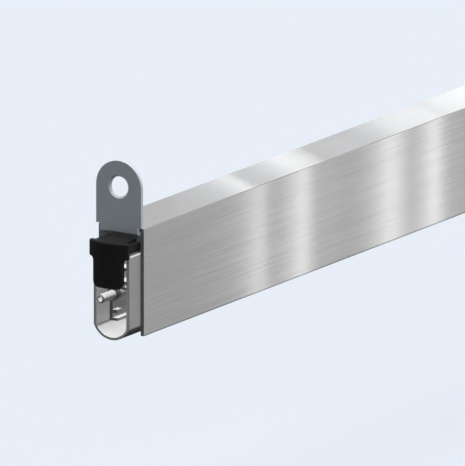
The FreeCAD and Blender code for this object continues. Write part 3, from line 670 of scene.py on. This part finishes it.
def makeSpring(look):
    lo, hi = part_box("return_spring")
    axisY = (lo[1] + hi[1]) / 2
    axisZ = (lo[2] + hi[2]) / 2
    radius = (hi[1] - lo[1]) / 2 - look["wire"] / 2
    start = lo[0] + look["wire"] / 2
    length = hi[0] - lo[0] - look["wire"]
    closed = look["endTurns"] * look["wire"] * 1.02
    bm = bmesh.new()
    ring = bmesh.ops.create_circle(bm, cap_ends=False, segments=look["wireSides"], radius=look["wire"] / 2,
                                   matrix=Matrix.Translation((start, axisY + radius, axisZ)))
    geom = ring["verts"] + bm.edges[:]
    for turns, reach in ((look["endTurns"], closed), (look["activeTurns"], length - 2 * closed),
                         (look["endTurns"], closed)):
        steps = int(turns * look["turnSteps"])
        turned = bmesh.ops.spin(bm, geom=geom, cent=(start, axisY, axisZ), axis=(1, 0, 0),
                                dvec=(reach / steps, 0, 0), angle=2 * math.pi * turns, steps=steps,
                                use_duplicate=False)
        geom = turned["geom_last"]
    openEdges = [e for e in bm.edges if e.is_boundary]
    bmesh.ops.holes_fill(bm, edges=openEdges, sides=0)
    bmesh.ops.remove_doubles(bm, verts=bm.verts, dist=0.001 * mm)
    bmesh.ops.recalc_face_normals(bm, faces=bm.faces)
    for f in bm.faces:
        f.smooth = len(f.verts) < 5
    mesh = bpy.data.meshes.new("springCoil")
    bm.to_mesh(mesh)
    bm.free()
    piece = bpy.data.objects.new("springCoil", mesh)
    scene.collection.objects.link(piece)
    mesh.materials.append(finishes["spring_steel"])
    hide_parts("return_spring")
    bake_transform(piece)
    return piece


springCoil = makeSpring(springSet)
print("spring made", len(springCoil.data.polygons))


# Studio
floorSet = {
    "height": -0.12,
    "size": 30.0,
    "paint": (0.388, 0.415, 0.456, 1),
    "bounce": (0.005, 0.005, 0.005, 1),  # what the floor gives back to the object
    "shadowShare": 0.35,
}


def seenDirectly(tree):
    path = addNode(tree, "ShaderNodeLightPath")
    seen = mathNode(tree, "MAXIMUM", path.outputs["Is Camera Ray"], path.outputs["Is Glossy Ray"])
    return mathNode(tree, "MAXIMUM", seen, path.outputs["Is Transmission Ray"])


def mixShaders(tree, factor, first, second):
    node = addNode(tree, "ShaderNodeMixShader")
    if isinstance(factor, (int, float)):
        node.inputs[0].default_value = factor
    else:
        tree.links.new(factor, node.inputs[0])
    tree.links.new(first.outputs[0], node.inputs[1])
    tree.links.new(second.outputs[0], node.inputs[2])
    return node


def makeFloor(look):
    bm = bmesh.new()
    bmesh.ops.create_grid(bm, x_segments=1, y_segments=1, size=look["size"])
    bmesh.ops.translate(bm, verts=bm.verts, vec=(0, 0, look["height"]))
    mesh = bpy.data.meshes.new("floor")
    bm.to_mesh(mesh)
    bm.free()
    floor = bpy.data.objects.new("floor", mesh)
    scene.collection.objects.link(floor)
    mat = bpy.data.materials.new("floorPaint")
    mat.use_nodes = True
    tree = mat.node_tree
    tree.nodes.clear()
    out = addNode(tree, "ShaderNodeOutputMaterial")
    paint = addNode(tree, "ShaderNodeBsdfDiffuse")
    paint.inputs["Color"].default_value = look["paint"]
    bounce = addNode(tree, "ShaderNodeBsdfDiffuse")
    bounce.inputs["Color"].default_value = look["bounce"]
    flat = addNode(tree, "ShaderNodeEmission")
    flat.inputs["Color"].default_value = backdropColour
    seen = mixShaders(tree, look["shadowShare"], flat, paint)
    last = mixShaders(tree, seenDirectly(tree), bounce, seen)
    join(tree, last, 0, out, "Surface")
    mesh.materials.append(mat)


makeFloor(floorSet)


def makeWorld(ambient):
    world = bpy.data.worlds.new("studio")
    scene.world = world
    world.use_nodes = True
    tree = world.node_tree
    tree.nodes.clear()
    out = addNode(tree, "ShaderNodeOutputWorld")
    soft = addNode(tree, "ShaderNodeBackground")
    soft.inputs["Color"].default_value = ambient
    back = addNode(tree, "ShaderNodeBackground")
    back.inputs["Color"].default_value = backdropColour
    join(tree, mixShaders(tree, seenDirectly(tree), soft, back), 0, out, "Surface")


ambientLight = (0.28, 0.28, 0.283, 1)
makeWorld(ambientLight)

lampSet = {
    "overhead": {"to": (-0.02, -0.10, 0.99), "strength": 4.4, "angle": 25.0, "shadow": False},
    "frontFill": {"to": (-0.05, -0.80, 0.60), "strength": 0.72, "angle": 25.0, "shadow": False},
    "softShadow": {"to": (-0.15, -0.35, 0.92), "strength": 0.94, "angle": 25.0, "shadow": True},
}
for name, look in lampSet.items():
    data = bpy.data.lights.new(name, "SUN")
    data.energy = look["strength"]
    data.angle = math.radians(look["angle"])
    data.use_shadow = look["shadow"]
    lamp = bpy.data.objects.new(name, data)
    scene.collection.objects.link(lamp)
    lamp.rotation_mode = "QUATERNION"
    lamp.rotation_quaternion = (-Vector(look["to"])).to_track_quat("-Z", "Y")
    lamp.visible_glossy = look["shadow"]  # the even fills leave no glare on the rail

# Narrow strip lamps beside the rail, which give the light bands across its brushed faces
stripSet = {
    "reach": 60 * mm,
    "length": 80 * mm,
    # place along the rail and width in mm, watts
    "front": [(56.0, 2.5, 0.0019), (78.8, 3.5, 0.0028), (92.0, 7, 0.0006), (125.5, 6, 0.0032), (147.8, 3, 0.003),
              (160.0, 7, 0.0008)],
    "top": [(50.0, 3, 0.0017), (80.5, 9, 0.003), (101.0, 9, 0.0006),
            (138.0, 14, 0.0032), (164.0, 12, 0.0028), (180.5, 7, 0.003)],
    "colour": (0.88, 0.94, 1.0),
}


def stripLamp(name, point, normal, longAxis, width, watts):
    view = towardsCamera()
    mirrored = 2 * view.dot(normal) * normal - view
    data = bpy.data.lights.new(name, "AREA")
    data.shape = "RECTANGLE"
    data.size = width * mm
    data.size_y = stripSet["length"]
    data.energy = watts
    data.color = stripSet["colour"]
    lamp = bpy.data.objects.new(name, data)
    scene.collection.objects.link(lamp)
    facing = -(mirrored - longAxis * mirrored.dot(longAxis)).normalized()
    side = longAxis.cross(-facing)
    turn = Matrix((side, longAxis, -facing)).transposed()
    lamp.matrix_world = Matrix.Translation(point + mirrored * stripSet["reach"]) @ turn.to_4x4()
    lamp.visible_camera = False


lowCorner, highCorner = (Vector(corner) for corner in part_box("housing"))
for place, width, watts in stripSet["front"]:
    stripLamp("frontStrip", Vector((place * mm, lowCorner.y, (lowCorner.z + highCorner.z) / 2)),
              Vector((0, -1, 0)), Vector((0, 0, 1)), width, watts)
for place, width, watts in stripSet["top"]:
    stripLamp("topStrip", Vector((place * mm, 0, highCorner.z)), Vector((0, 0, 1)),
              Vector((0.55, 0.835, 0)).normalized(), width, watts)
print("studio ready")
